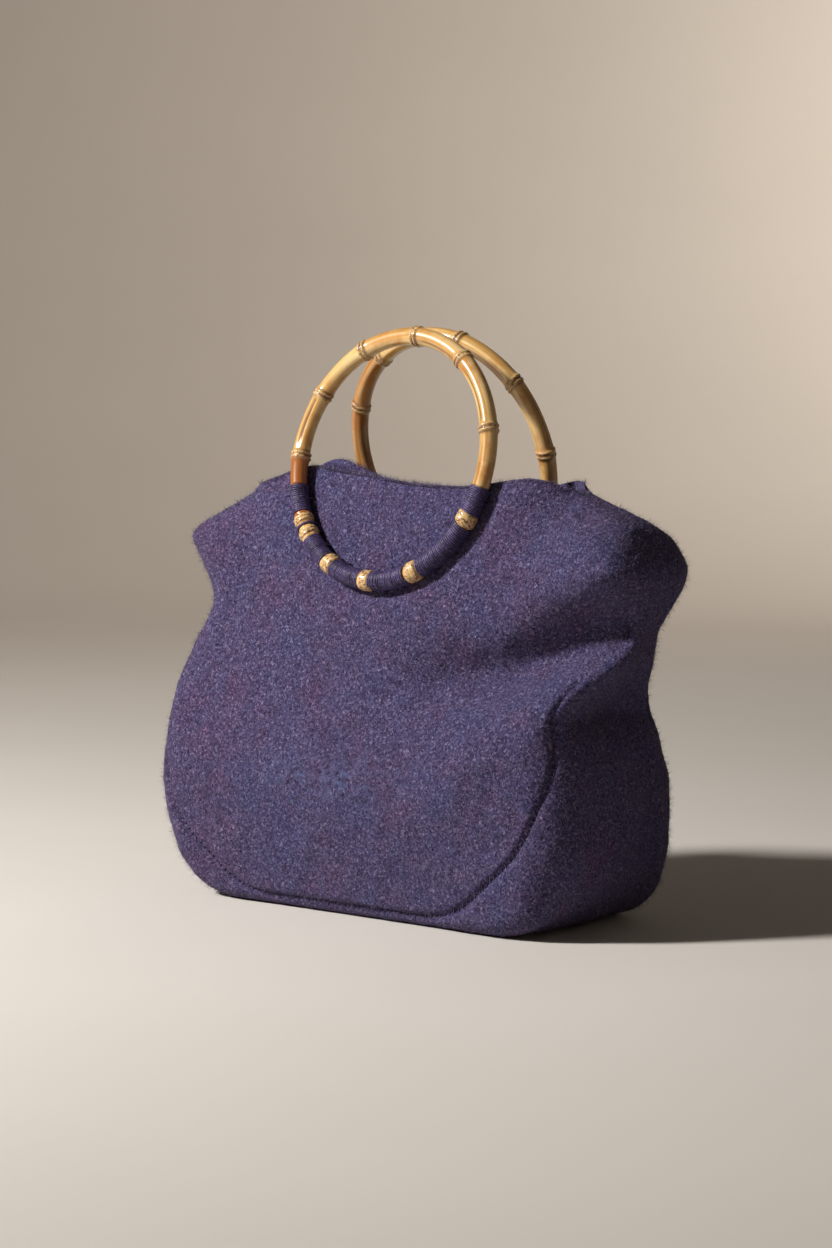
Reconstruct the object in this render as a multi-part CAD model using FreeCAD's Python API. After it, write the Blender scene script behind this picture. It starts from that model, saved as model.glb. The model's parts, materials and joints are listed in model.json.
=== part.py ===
"""Felted wool knitting bag with two cane ring handles.

Frame: millimetres, +Z up, +X to the bag's right, -Y its front. The origin is the middle of
the flat base. The bag is two felt panels sewn to one long gusset strip, which makes both
sides, the shoulders and the base. Each panel's top middle is a flap, bound to the lower half
of a ring handle with yarn, and the felt folds along the flap's lower edge when the ring tilts.
"""
import FreeCAD
import Part
import math
import os
from FreeCAD import Vector

os.makedirs("parts", exist_ok=True)

# ---- driving dimensions -------------------------------------------------------------------
FELT = 5.0                  # felt thickness
RIM_Z = 246.0               # height of the mouth's rim
MOUTH_HALF = 116.0          # half the mouth's width
BELLY_HALF = 152.0          # half the width below
BELLY_DEPTH = 62.0          # half its depth there
WAIST_HALF = 130.0          # half the width where the bag's outline turns out again
SEAM_INSET = 8.0            # the panels' edges lie this far inside the bag's outline
FAR = 300.0                 # longer than the bag in every direction

RING_R = 70.0               # ring handle, to the middle of the cane
CANE_R = 6.2                # the cane's own radius
NODE_R = 6.9                # the cane's radius at its nodes
NODE_SWEEP = 3.0            # a node's length, in degrees round the ring
RING_Y = -25.7              # the front ring's centre
RING_Z = 256.0
LEAN = math.radians(14.5)   # the ring and the felt behind it lean back by this much
YARN_R = 0.8
WRAP_R = 7.5                # outer radius of the yarn wound round the cane
WRAP_GAP = 0.1              # the wound yarn clears the felt by this much
PIN_R = 1.0                 # pin through the cane's spliced ends
PIN_AT = -78.0              # its place round the ring, in degrees from +X

HINGE_Z = 174.5             # height of the felt's fold, on its outer face
FLAP_HALF = 82.0            # half the width of the flap that a ring is bound to
FLAP_GAP = 0.6              # cut between the flap and the panel round it
HINGE_GAP = 0.3

BOARD_HALF = (95.0, 40.0)   # stiffening board in the base
BOARD_CORNER = 14.0
BOARD_THICK = 2.0

# The cane's nodes, in degrees round each ring from +X, and the spans that yarn is wound over.
FRONT_NODES = (18.5, 57.5, 88.0, 121.0, 151.0, 182.0, 213.0, 220.5, 242.5, 268.0, 296.0, 333.0)
BACK_NODES = (3.0, 41.0, 72.0, 99.0, 125.0, 164.0, 196.0, 228.0, 262.0, 295.0, 330.0)
FRONT_WRAPS = ((195.0, 209.5), (216.1, 217.5), (224.0, 239.5), (245.5, 265.0),
               (271.0, 292.5), (299.0, 330.0), (336.0, 349.0))
BACK_WRAPS = ((199.0, 210.0), (212.0, 225.0), (231.0, 245.0), (247.0, 259.0),
              (265.0, 292.0), (298.0, 327.0), (333.0, 345.0))
STITCH_SPACING = 11.0       # degrees between the loops that tie a winding to the felt

UP = Vector(0, math.sin(LEAN), math.cos(LEAN))        # up along the leaning felt
OUT = Vector(0, -math.cos(LEAN), math.sin(LEAN))      # out of its front face
RING_CENTRE = Vector(0, RING_Y, RING_Z)
FACE_POINT = RING_CENTRE - OUT * (WRAP_R + WRAP_GAP)  # on the felt's outer face


def face_y(z):
    """The front felt's outer face, as a y for a height on its straight upper part."""
    return FACE_POINT.y + (z - FACE_POINT.z) * math.tan(LEAN)


HINGE = Vector(0, face_y(HINGE_Z), HINGE_Z) - OUT * (FELT / 2)


# ---- outlines -----------------------------------------------------------------------------
def mirrored_face(half, place):
    """A face from half an outline: edges in (across, up), mirrored across the middle."""
    edges = []
    for edge in half:
        edges.append(edge)
        edges.append(edge.mirror(Vector(0, 0, 0), Vector(1, 0, 0)))
    face = Part.Face(Part.Wire(Part.__sortEdges__(edges)))
    face.Placement = place
    return face


def line(a, b):
    return Part.makeLine(Vector(a[0], a[1], 0), Vector(b[0], b[1], 0))


# The outlines are drawn in XY, then stood up: across is X or Y, and up is Z.
STAND_FRONT = FreeCAD.Placement(Vector(0, 0, 0), FreeCAD.Rotation(Vector(1, 0, 0), 90))
STAND_SIDE = FreeCAD.Placement(FreeCAD.Matrix(0, 0, 1, 0, 1, 0, 0, 0, 0, 1, 0, 0, 0, 0, 0, 1))


def rounded_path(corners):
    """Straight runs joined by tangent arcs: corners are (across, up, radius) from end to end."""
    points = [Vector(x, y, 0) for x, y, _ in corners]
    edges, start = [], points[0]
    for before, corner, after, (_, _, radius) in zip(points, points[1:], points[2:],
                                                     corners[1:-1]):
        back = (before - corner).normalize()
        ahead = (after - corner).normalize()
        half = back.getAngle(ahead) / 2
        middle = (back + ahead).normalize()
        reach = radius / math.tan(half)
        nearest = corner + middle * (radius / math.sin(half) - radius)
        edges.append(Part.makeLine(start, corner + back * reach))
        start = corner + ahead * reach
        edges.append(Part.Arc(corner + back * reach, nearest, start).toShape())
    edges.append(Part.makeLine(start, points[-1]))
    return edges


def front_outline():
    """The bag from the front: rounded bottom corners, a waist, and drooping shoulders."""
    return mirrored_face(rounded_path([(0, 0, 0), (BELLY_HALF, 0, 48), (BELLY_HALF, 84, 150),
                                       (WAIST_HALF, 152, 50), (190, 206, 22),
                                       (MOUTH_HALF, RIM_Z, 0)])
                         + [line((MOUTH_HALF, RIM_Z), (0, RIM_Z))], STAND_FRONT)


def side_outline():
    """The bag from the side: upright below, then two straight felts that lean together.

    It runs on above the rim, so that its inside is open there."""
    top_z = RIM_Z + 16
    # The upright felt and the leaning felt would meet at this height; a wide arc joins them.
    meet_z = RIM_Z - (BELLY_DEPTH + face_y(RIM_Z)) / math.tan(LEAN)
    return mirrored_face(rounded_path([(0, 0, 0), (BELLY_DEPTH, 0, 15), (BELLY_DEPTH, meet_z, 240),
                                       (-face_y(top_z), top_z, 0)])
                         + [line((-face_y(top_z), top_z), (0, top_z))], STAND_SIDE)


def across_y(face):
    """The front outline's solid, right through the bag."""
    return face.extrude(Vector(0, 2 * FAR, 0)).translated(Vector(0, -FAR, 0))


def across_x(face):
    return face.extrude(Vector(2 * FAR, 0, 0)).translated(Vector(-FAR, 0, 0))


def box(x, y, z):
    """A box from three (low, high) pairs."""
    return Part.makeBox(x[1] - x[0], y[1] - y[0], z[1] - z[0], Vector(x[0], y[0], z[0]))


def mirror_y(shape):
    return shape.mirror(Vector(0, 0, 0), Vector(0, 1, 0))


def inset(outline, distance):
    return outline.makeOffset2D(-distance)


def open_top(solid, half):
    """The solid carried on upwards through the mouth, to the given half-width."""
    return solid.fuse(box((-half, half), (-FAR, FAR), (RIM_Z - 40, RIM_Z + 40)))


# ---- the felt -----------------------------------------------------------------------------
def lean_box(half_x, low, high, depth):
    """A box that leans with the felt: low and high are heights along it from the fold."""
    slab = Part.makeBox(2 * half_x, 2 * depth, high - low, Vector(-half_x, -depth, low))
    slab.Placement = FreeCAD.Placement(HINGE, FreeCAD.Rotation(Vector(1, 0, 0),
                                                               -math.degrees(LEAN)))
    return slab


def fold_rod(radius, half_x):
    return Part.makeCylinder(radius, 2 * half_x, HINGE - Vector(half_x, 0, 0), Vector(1, 0, 0))


def make_felt():
    """The front panel, its flap, the seam's yarn and the gusset."""
    front, side = front_outline(), side_outline()
    outer = across_y(front).common(across_x(side))
    hollow = open_top(across_y(inset(front, FELT)), MOUTH_HALF - FELT - 2)
    shell = outer.cut(hollow.common(across_x(inset(side, FELT))))

    within = open_top(across_y(inset(front, SEAM_INSET)), MOUTH_HALF - SEAM_INSET)
    whole_front = shell.common(within).common(box((-FAR, FAR), (-FAR, -FELT), (0, RIM_Z)))
    gusset = shell.cut(within)

    # The sewing yarn lies in the joint between panel and gusset, half sunk in the felt.
    joint = across_y(inset(front, SEAM_INSET - YARN_R)).cut(
        across_y(inset(front, SEAM_INSET + YARN_R)))
    skin = across_x(side.makeOffset2D(0.6)).cut(across_x(inset(side, 1.2)))
    mouth = box((-MOUTH_HALF + 7, MOUTH_HALF - 7), (-FAR, FAR), (RIM_Z - 40, RIM_Z + 40))
    seam = joint.common(skin).common(box((-FAR, FAR), (-FAR, -FELT), (0, RIM_Z))).cut(mouth)
    whole_front = whole_front.cut(seam)
    gusset = gusset.cut(seam).cut(mirror_y(seam))

    flap = whole_front.common(lean_box(FLAP_HALF, 0, FAR, 4 * FELT))
    flap = flap.fuse(fold_rod(FELT / 2, FLAP_HALF)).removeSplitter()
    panel = whole_front.cut(lean_box(FLAP_HALF + FLAP_GAP, 0, FAR, 4 * FELT))
    panel = panel.cut(fold_rod(FELT / 2 + HINGE_GAP, FLAP_HALF + FLAP_GAP))
    return panel, flap, seam, gusset


def make_base_board():
    """A stiff board that lies inside on the gusset, and keeps the base flat."""
    half_x, half_y = BOARD_HALF
    board = box((-half_x, half_x), (-half_y, half_y), (FELT, FELT + BOARD_THICK))
    upright = [e for e in board.Edges if abs(e.tangentAt(e.FirstParameter).z) > 0.9]
    return board.makeFillet(BOARD_CORNER, upright)


# ---- the ring handles ---------------------------------------------------------------------
def stand_ring(shape):
    """From the ring's own plane, XY, to its place on the leaning front felt."""
    turn = FreeCAD.Rotation(Vector(1, 0, 0), 90 - math.degrees(LEAN))
    shape.Placement = FreeCAD.Placement(RING_CENTRE, turn).multiply(shape.Placement)
    return shape


def tube_arc(radius, start, end):
    """A stretch of round tube along the ring, between two angles in degrees."""
    arc = Part.makeTorus(RING_R, radius, Vector(0, 0, 0), Vector(0, 0, 1), 0, 360, end - start)
    return arc.rotated(Vector(0, 0, 0), Vector(0, 0, 1), start)


def at_angle(shape, angle):
    """A shape made round the cane at +X, moved round the ring."""
    return shape.rotated(Vector(0, 0, 0), Vector(0, 0, 1), angle)


def make_pin():
    pin = Part.makeCylinder(PIN_R, 2 * (CANE_R - 0.4), Vector(RING_R, 0, -(CANE_R - 0.4)))
    return at_angle(pin, PIN_AT)


def make_ring(nodes):
    """One cane bent to a ring, thicker at its nodes, with a hole for the splice's pin."""
    ring = Part.makeTorus(RING_R, CANE_R)
    for node in nodes:
        ring = ring.fuse(tube_arc(NODE_R, node - NODE_SWEEP / 2, node + NODE_SWEEP / 2))
    return ring.cut(make_pin())


def make_wrap(span):
    """Yarn wound tightly round the cane, as a plain sleeve."""
    return tube_arc(WRAP_R, *span).cut(tube_arc(CANE_R, span[0] - 1, span[1] + 1))


def bent_yarn(bend, start, sweep):
    """An arc of yarn in the XZ plane, about the origin, from an angle in degrees."""
    arc = Part.makeTorus(bend, YARN_R, Vector(0, 0, 0), Vector(0, 0, 1), 0, 360, sweep)
    arc = arc.rotated(Vector(0, 0, 0), Vector(0, 0, 1), start)
    return arc.rotated(Vector(0, 0, 0), Vector(1, 0, 0), 90)


def make_loop():
    """A yarn loop round the wound cane and through the felt behind it, at +X."""
    reach = WRAP_R + YARN_R
    back = WRAP_R + WRAP_GAP + FELT + YARN_R
    bend = 3.0
    straight = back - bend
    pieces = [bent_yarn(reach, 0, 180)]
    for side, start in ((1, -90), (-1, 180)):
        pieces.append(Part.makeCylinder(YARN_R, straight, Vector(side * reach, 0, -straight)))
        corner = bent_yarn(bend, start, 90)
        pieces.append(corner.translated(Vector(side * (reach - bend), 0, -straight)))
    pieces.append(Part.makeCylinder(YARN_R, 2 * (reach - bend),
                                    Vector(-(reach - bend), 0, -back), Vector(1, 0, 0)))
    return pieces[0].multiFuse(pieces[1:]).translated(Vector(RING_R, 0, 0))


def make_stitches(wraps):
    """The loops that tie each winding to the felt, spaced evenly along it."""
    loop, loops = make_loop(), []
    for start, end in wraps:
        count = max(1, round((end - start) / STITCH_SPACING))
        for i in range(count):
            loops.append(at_angle(loop, start + (end - start) * (i + 0.5) / count))
    return Part.makeCompound(loops)


# ---- files --------------------------------------------------------------------------------
def export(name, shape):
    solids = shape.Solids
    if not solids or not all(s.isValid() and s.Volume > 0 for s in solids):
        raise RuntimeError(name + " isn't one or more valid solids")
    whole = solids[0] if len(solids) == 1 else Part.makeCompound(solids)
    whole.exportStep("parts/" + name + ".step")
    size = whole.BoundBox
    print(name, len(solids), "solids", round(whole.Volume), "mm3",
          [round(v, 1) for v in (size.XMin, size.XMax, size.YMin, size.YMax,
                                 size.ZMin, size.ZMax)])


def main():
    panel, flap, seam, gusset = make_felt()
    export("gusset", gusset)
    export("base_board", make_base_board())
    sides = (("front", FRONT_NODES, FRONT_WRAPS, lambda s: s),
             ("back", BACK_NODES, BACK_WRAPS, mirror_y))
    for side, nodes, wraps, turn in sides:
        export(side + "_panel", turn(panel))
        export(side + "_flap", turn(flap))
        export(side + "_seam_yarn", turn(seam))
        export(side + "_ring", turn(stand_ring(make_ring(nodes))))
        export(side + "_ring_pin", turn(stand_ring(make_pin())))
        export(side + "_tie_loops", turn(stand_ring(make_stitches(wraps))))
        for i, span in enumerate(wraps):
            export(side + "_wrap_" + str(i + 1), turn(stand_ring(make_wrap(span))))
    print("hinge", [round(v, 3) for v in HINGE])


main()
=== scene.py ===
"""A felted wool knitting bag on two cane ring handles.

The felt, the cane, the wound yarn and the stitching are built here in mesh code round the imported
frame. Lengths are in millimetres until a mesh is made, and then in metres, in the frame's own
axes: +Z up, -Y the bag's front. Every side piece is made for the front and mirrored for the back.
"""
import json
import math

import bpy
import numpy as np
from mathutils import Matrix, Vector


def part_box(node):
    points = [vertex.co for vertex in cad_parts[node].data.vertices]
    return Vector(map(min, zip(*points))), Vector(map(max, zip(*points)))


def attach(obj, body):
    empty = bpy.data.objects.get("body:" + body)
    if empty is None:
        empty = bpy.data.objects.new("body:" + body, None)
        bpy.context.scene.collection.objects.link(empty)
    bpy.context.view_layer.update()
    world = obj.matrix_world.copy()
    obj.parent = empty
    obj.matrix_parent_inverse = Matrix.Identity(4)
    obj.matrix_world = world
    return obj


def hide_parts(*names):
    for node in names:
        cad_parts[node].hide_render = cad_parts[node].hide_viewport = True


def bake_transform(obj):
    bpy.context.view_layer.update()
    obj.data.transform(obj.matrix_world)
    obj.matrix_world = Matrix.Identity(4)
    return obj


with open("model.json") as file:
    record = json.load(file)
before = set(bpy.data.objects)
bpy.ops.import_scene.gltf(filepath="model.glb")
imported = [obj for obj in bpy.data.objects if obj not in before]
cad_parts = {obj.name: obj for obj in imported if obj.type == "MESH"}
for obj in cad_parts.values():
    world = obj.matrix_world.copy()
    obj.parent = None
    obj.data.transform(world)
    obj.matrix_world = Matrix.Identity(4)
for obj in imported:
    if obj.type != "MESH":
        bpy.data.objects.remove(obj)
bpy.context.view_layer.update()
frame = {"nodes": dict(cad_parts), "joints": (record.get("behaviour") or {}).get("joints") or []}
MM = 0.001

# ---- driving dimensions, from the frame where it has them ----
LEAN = math.radians(14.5)  # how far the upper felt and the rings lean back
HINGE = np.array(frame["joints"][0]["pos_m"]) / MM
BELLY_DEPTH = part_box("gusset")[1].y / MM
CANE_R = 5.15
RING_R = 70.0
RING_C = np.array([0.0, -25.7, 256.0])
FELT = 5.0  # thickness
FACE_OFFSET = 7.6  # from the ring's middle plane to the felt behind it

YARN_R, YARN_PITCH, WINDING_R = 0.64, 1.27, 5.0
SEAT = 1.9  # how far the felt stands out to meet the winding
TIE_R, TIE_REACH, TIE_SPACING = 0.42, 5.35, 11.0
STITCH_PITCH = 4.0
PIN_R, PIN_HALF, PIN_AT = 1.0, 4.0, -78.0

# Degrees round the rings from +X: the cane's nodes, and the stretches that are wound with yarn.
FRONT_NODES = (15.5, 54.5, 87.0, 119.0, 150.0, 181.0, 213.0, 220.5, 242.5, 268.0, 296.0, 333.0)
BACK_NODES = (3.0, 38.0, 73.0, 99.0, 125.0, 157.0, 196.0, 228.0, 262.0, 295.0, 330.0)
FRONT_WRAPS = ((195.0, 209.5), (216.1, 217.5), (224.0, 239.5), (245.5, 265.0),
               (271.0, 292.5), (299.0, 330.0), (336.0, 349.0))
BACK_WRAPS = ((199.0, 210.0), (212.0, 225.0), (231.0, 245.0), (247.0, 259.0),
              (265.0, 292.0), (298.0, 327.0), (333.0, 345.0))
SMALL_NODES = (213.0, 220.5)
BEAD_HALF = 3.3
# By the number of a stretch from its first node: where its groove runs round the cane, how deep it is
# and how dark the shade painted along it is, and how amber the stretch is.
FRONT_GROOVES = {0: (1.85, 1.0, 0.12), 1: (2.3, 0.9, 0.15), 4: (1.64, 1.0, 0.1), 5: (4.0, 0.3, 0.9),
                 11: (1.7, 0.5, 0.2)}
BACK_GROOVES = {0: (6.1, 0.9, 0.1), 1: (4.6, 0.5, 0.1), 4: (4.0, 0.3, 0.55), 5: (4.4, 0.3, 0.6)}

UP = np.array([0.0, math.sin(LEAN), math.cos(LEAN)])
OUT = np.array([0.0, -math.cos(LEAN), math.sin(LEAN)])
FACE_POINT = RING_C - OUT * FACE_OFFSET


# ---- small tools ----
def smooth(low, high, value):
    """0 below low, 1 above high, and a smooth turn between."""
    t = np.clip((value - low) / (high - low), 0.0, 1.0)
    return t * t * (3.0 - 2.0 * t)


def hill(x, z, centre, size, angle=0.0):
    """A smooth hill of height 1: size is its half-widths, turned by an angle in degrees."""
    turn = math.radians(angle)
    dx, dz = x - centre[0], z - centre[1]
    along = dx * math.cos(turn) + dz * math.sin(turn)
    over = -dx * math.sin(turn) + dz * math.cos(turn)
    return np.exp(-(along / size[0]) ** 2 - (over / size[1]) ** 2)


def wave_noise(points, size, seed):
    """Soft seeded noise in about -1 to 1: waves about size mm long, and weaker ones half as long."""
    source = np.random.default_rng(seed)
    total = np.zeros(len(points))
    for octave in (1, 2):
        for _ in range(10):
            direction = source.normal(size=3)
            direction /= np.linalg.norm(direction)
            length = size / octave * source.uniform(0.7, 1.4)
            phase = source.uniform(0, 2 * math.pi)
            total += np.sin(points @ direction * (2 * math.pi / length) + phase) / octave
    return total / (3.0 * math.sqrt(5.0))


def make_mesh(name, points, faces, material, crease=None):
    """An object from points in millimetres and one or more arrays of faces."""
    groups = faces if isinstance(faces, (list, tuple)) else [faces]
    corners = np.concatenate([group.reshape(-1) for group in groups])
    sizes = np.concatenate([np.full(len(group), group.shape[1]) for group in groups])
    mesh = bpy.data.meshes.new(name)
    mesh.vertices.add(len(points))
    mesh.vertices.foreach_set("co", (np.asarray(points) * MM).astype(np.float32).reshape(-1))
    mesh.loops.add(len(corners))
    mesh.loops.foreach_set("vertex_index", corners.astype(np.int32))
    mesh.polygons.add(len(sizes))
    mesh.polygons.foreach_set("loop_start", (np.cumsum(sizes) - sizes).astype(np.int32))
    mesh.polygons.foreach_set("use_smooth", np.ones(len(sizes), bool))
    mesh.update(calc_edges=True)
    if crease:
        mesh.set_sharp_from_angle(angle=math.radians(crease))
    mesh.materials.append(material)
    obj = bpy.data.objects.new(name, mesh)
    bpy.context.scene.collection.objects.link(obj)
    return obj


def add_attribute(obj, name, values):
    """A number for each point of a mesh, which its material reads by name."""
    attribute = obj.data.attributes.new(name, "FLOAT", "POINT")
    attribute.data.foreach_set("value", np.asarray(values, np.float32).reshape(-1))


def grid_faces(rows, columns, closed=False, start=0):
    """Quads of a grid stored row by row. A closed grid's last column joins its first."""
    last = columns if closed else columns - 1
    r, c = np.meshgrid(np.arange(rows - 1), np.arange(last), indexing="ij")
    n = (c + 1) % columns
    quads = np.stack([r * columns + c, r * columns + n,
                      (r + 1) * columns + n, (r + 1) * columns + c], axis=-1)
    return quads.reshape(-1, 4) + start


def grid_normals(points):
    """Unit normals of a grid of points, rows by columns by 3."""
    across = np.gradient(points, axis=1)
    along = np.gradient(points, axis=0)
    normals = np.cross(across, along)
    return normals / np.maximum(np.linalg.norm(normals, axis=2, keepdims=True), 1e-9)


def mirror_y(points):
    return np.asarray(points) * np.array([1.0, -1.0, 1.0])


# What turns points made for the front into points for either side.
TO_SIDE = {"front": np.asarray, "back": mirror_y}


# ---- outlines ----
def rounded_path(corners, step=1.0):
    """Points along straight runs joined by tangent arcs. Corners are (across, up, radius)."""
    points = [np.array(c[:2], float) for c in corners]
    path = [points[0]]
    for before, corner, after, (_, _, radius) in zip(points, points[1:], points[2:],
                                                     corners[1:-1]):
        back = (before - corner) / np.linalg.norm(before - corner)
        ahead = (after - corner) / np.linalg.norm(after - corner)
        half = math.acos(float(np.clip(back @ ahead, -1, 1))) / 2
        middle = (back + ahead) / np.linalg.norm(back + ahead)
        centre = corner + middle * (radius / math.sin(half))
        start = corner + back * (radius / math.tan(half))
        end = corner + ahead * (radius / math.tan(half))
        from_centre, to_centre = start - centre, end - centre
        sweep = math.pi - 2 * half
        count = max(3, int(radius * sweep / step))
        for t in np.linspace(0, 1, count):
            path.append(centre + (from_centre * math.sin((1 - t) * sweep)
                                  + to_centre * math.sin(t * sweep)) / math.sin(sweep))
    path.append(points[-1])
    return resample(np.array(path), step)


def lengths_along(path):
    """How far along a path each of its points lies."""
    return np.concatenate([[0], np.cumsum(np.linalg.norm(np.diff(path, axis=0), axis=1))])


def resample(path, step):
    """The same path with points evenly spaced, about a step apart."""
    lengths = lengths_along(path)
    count = max(2, int(round(lengths[-1] / step)) + 1)
    at = np.linspace(0, lengths[-1], count)
    return np.stack([np.interp(at, lengths, path[:, i]) for i in range(path.shape[1])], axis=1)


# From the middle of the base up each side, as the front is seen. The bag has settled, so its
# left shoulder droops sooner and its left belly is fuller. The seams cut the lower corners rounder
# than the outline does.
RIGHT_SIDE = [(0, 0, 0), (147, 0, 48), (149, 90, 150), (140, 136, 24), (174, 199, 15), (160, 226, 26),
              (119, 243, 0)]
LEFT_SIDE = [(0, 0, 0), (-160, 0, 64), (-161, 126, 60), (-139, 169, 24), (-171, 211, 14),
             (-118, 238, 0)]
RIGHT_SEAM = [(0, 6, 0), (72, 6, 70), (126, 50, 70), (144, 98, 60), (132, 138, 24), (166, 200, 13),
              (155, 221, 20), (112, 245, 0)]
LEFT_SEAM = [(0, 6, 0), (-86, 6, 66), (-142, 48, 66), (-153, 100, 60), (-152, 126, 40),
             (-131, 169, 22), (-161, 210, 12), (-108, 237, 0)]
RIGHT_MARKS, LEFT_MARKS = (3, 4), (3, 4)  # the waist's and the wing's corners
RIGHT_SEAM_MARKS, LEFT_SEAM_MARKS = (4, 5), (5, 6)
SIDE_POINTS = 290  # points along each side's outline
MARK_POINTS = (0, 150, 205, SIDE_POINTS - 1)
CORNER_POINT = 92  # where the panels' grids have their lower corners
FRONT_RIM = [(-108, 237), (-98, 239), (-86, 242), (-74, 247), (-62, 248.5), (-40, 245), (-19, 244.5),
             (-5, 242), (28, 240), (55, 240.5), (84, 245), (100, 247), (112, 245)]
BACK_RIM = [(-108, 237), (-97, 246), (-84, 250.5), (-74, 249.5), (-58, 241), (-40, 238), (-5, 236),
            (28, 235), (55, 236), (84, 241), (100, 243.5), (112, 245)]
MEET_Z = FACE_POINT[2] - (BELLY_DEPTH + FACE_POINT[1]) / math.tan(LEAN)
PROFILE_TOP = 262.0
SIDE_PROFILE = rounded_path([(BELLY_DEPTH - 4, 0, 0), (BELLY_DEPTH, 36, 100),
                             (BELLY_DEPTH, MEET_Z, 220),
                             (-FACE_POINT[1] - (PROFILE_TOP - FACE_POINT[2]) * math.tan(LEAN),
                              PROFILE_TOP, 0)])


def half_depth(z):
    """How far the felt's outer face stands from the bag's middle plane at a height."""
    return np.interp(z, SIDE_PROFILE[:, 1], SIDE_PROFILE[:, 0])


def unit(vectors):
    return vectors / np.maximum(np.linalg.norm(vectors, axis=-1, keepdims=True), 1e-9)


def side_points(corners, marks):
    """One side's points, spaced so that its waist and its wing have set point numbers."""
    path = rounded_path(corners)
    lengths = lengths_along(path)
    found = [lengths[np.linalg.norm(path - np.array(corners[m][:2]), axis=1).argmin()] for m in marks]
    at = np.interp(np.arange(SIDE_POINTS), MARK_POINTS, [0, *found, lengths[-1]])
    return np.stack([np.interp(at, lengths, path[:, i]) for i in range(2)], axis=1)


def both_sides(right, right_marks, left, left_marks):
    """From the mouth's right end down, along the base and up to the mouth's left end."""
    right_half, left_half = side_points(right, right_marks), side_points(left, left_marks)
    return soften(np.concatenate([right_half[::-1], left_half[1:]]), 12)


def soften(path, rounds):
    """The path with its curvature evened out, and its ends where they were."""
    path = path.copy()
    for _ in range(rounds):
        path[1:-1] = (path[:-2] + 2 * path[1:-1] + path[2:]) / 4
    return path


OUTLINE = both_sides(RIGHT_SIDE, RIGHT_MARKS, LEFT_SIDE, LEFT_MARKS)
SEAM = both_sides(RIGHT_SEAM, RIGHT_SEAM_MARKS, LEFT_SEAM, LEFT_SEAM_MARKS)
ALONG = unit(np.gradient(OUTLINE, axis=0))
INWARD = np.stack([ALONG[:, 1], -ALONG[:, 0]], axis=1)


EDGE_R, BASE_EDGE_R, WING_EDGE_R = 26.0, 12.0, 18.0


def edge_rounds():
    """Radius of the rounding between face and gusset: smaller at the base and on the wing."""
    under = smooth(0.35, 0.95, INWARD[:, 1]) * (OUTLINE[:, 1] < 80)
    wing = (OUTLINE[:, 0] > 0) * smooth(160.0, 190.0, OUTLINE[:, 1])
    radius = EDGE_R - (EDGE_R - BASE_EDGE_R) * under - (EDGE_R - WING_EDGE_R) * wing
    return np.minimum(radius, 0.9 * half_depth(OUTLINE[:, 1]))


ROUND = edge_rounds()


# ---- the settled shape ----
# The hills and hollows of each side's felt: how far each stands out from the plain shape, where its
# middle is across and up, its half-widths, and the angle that it slants at.
FOLDS = {
    "front": [(3.0, (-25, 78), (115, 48), 0),      # the belly
              (-25.0, (146, 168), (46, 15), 28),   # the hollow under the drooping wing
              (-14.0, (82, 142), (48, 16), 14),    # where it runs out to the left
              (12.0, (176, 204), (66, 24), 8),     # the wing
              (8.0, (152, 136), (42, 16), 48),     # the ridge under the hollow
              (4.0, (92, 98), (44, 20), 42),       # and lower down
              (-3.0, (-138, 168), (36, 14), -15),  # the left waist
              (4.0, (-142, 206), (30, 20), 0)],    # the left shoulder
    "back": [(3.0, (20, 74), (110, 48), 0),        # the belly
             (-9.0, (-122, 165), (58, 15), -16),   # the left waist
             (5.0, (-118, 120), (50, 16), -35),    # the ridge under it
             (-6.0, (134, 160), (36, 14), 14),     # the right waist
             (5.0, (146, 206), (32, 20), 0)]}      # the right shoulder


def folds(side, x, z):
    """How far one side's felt stands out from its plain shape."""
    return sum(height * hill(x, z, centre, size, angle) for height, centre, size, angle in FOLDS[side])


def ring_press(x, z):
    """The felt swells a little round the ring that is tied down on it."""
    height = (z - RING_C[2]) / math.cos(LEAN)
    radius = np.hypot(x, height)
    track = np.exp(-((radius - RING_R) / 10.0) ** 2)
    return (SEAT + 1.6 * (1 - track)) * smooth(125.0, 85.0, radius), track * smooth(30.0, 0.0, height)


def side_hollow(x, z):
    """How far the gusset's middle sinks in at the waist: softly at the left, sharply at the right."""
    soft = 12.0 * np.exp(-((z - 112.0) / 34.0) ** 2)
    sharp = 19.0 * np.exp(-np.hypot(z - 120.0, 4.0) / 12.0)
    full_above = 3.0 * np.exp(-((z - 148.0) / 14.0) ** 2)
    return np.where(x > 0, sharp - full_above, soft)


def wing_reach(x, z):
    """How far the front half of the right side is drawn out: at the waist's ridge and at the wing."""
    return 13.0 * hill(x, z, (152, 146), (34, 24)) + 3.5 * hill(x, z, (170, 200), (30, 24))


RIGHT_SAG, LEFT_SAG = 1.5, 6.0  # how far the gusset's rim sags at the mouth's two ends
BACK_TUCK = 6.5  # how far the back's right side is drawn in under the waist
LUMP_SIZE, LUMP_HEIGHT = 46.0, 1.3


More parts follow.
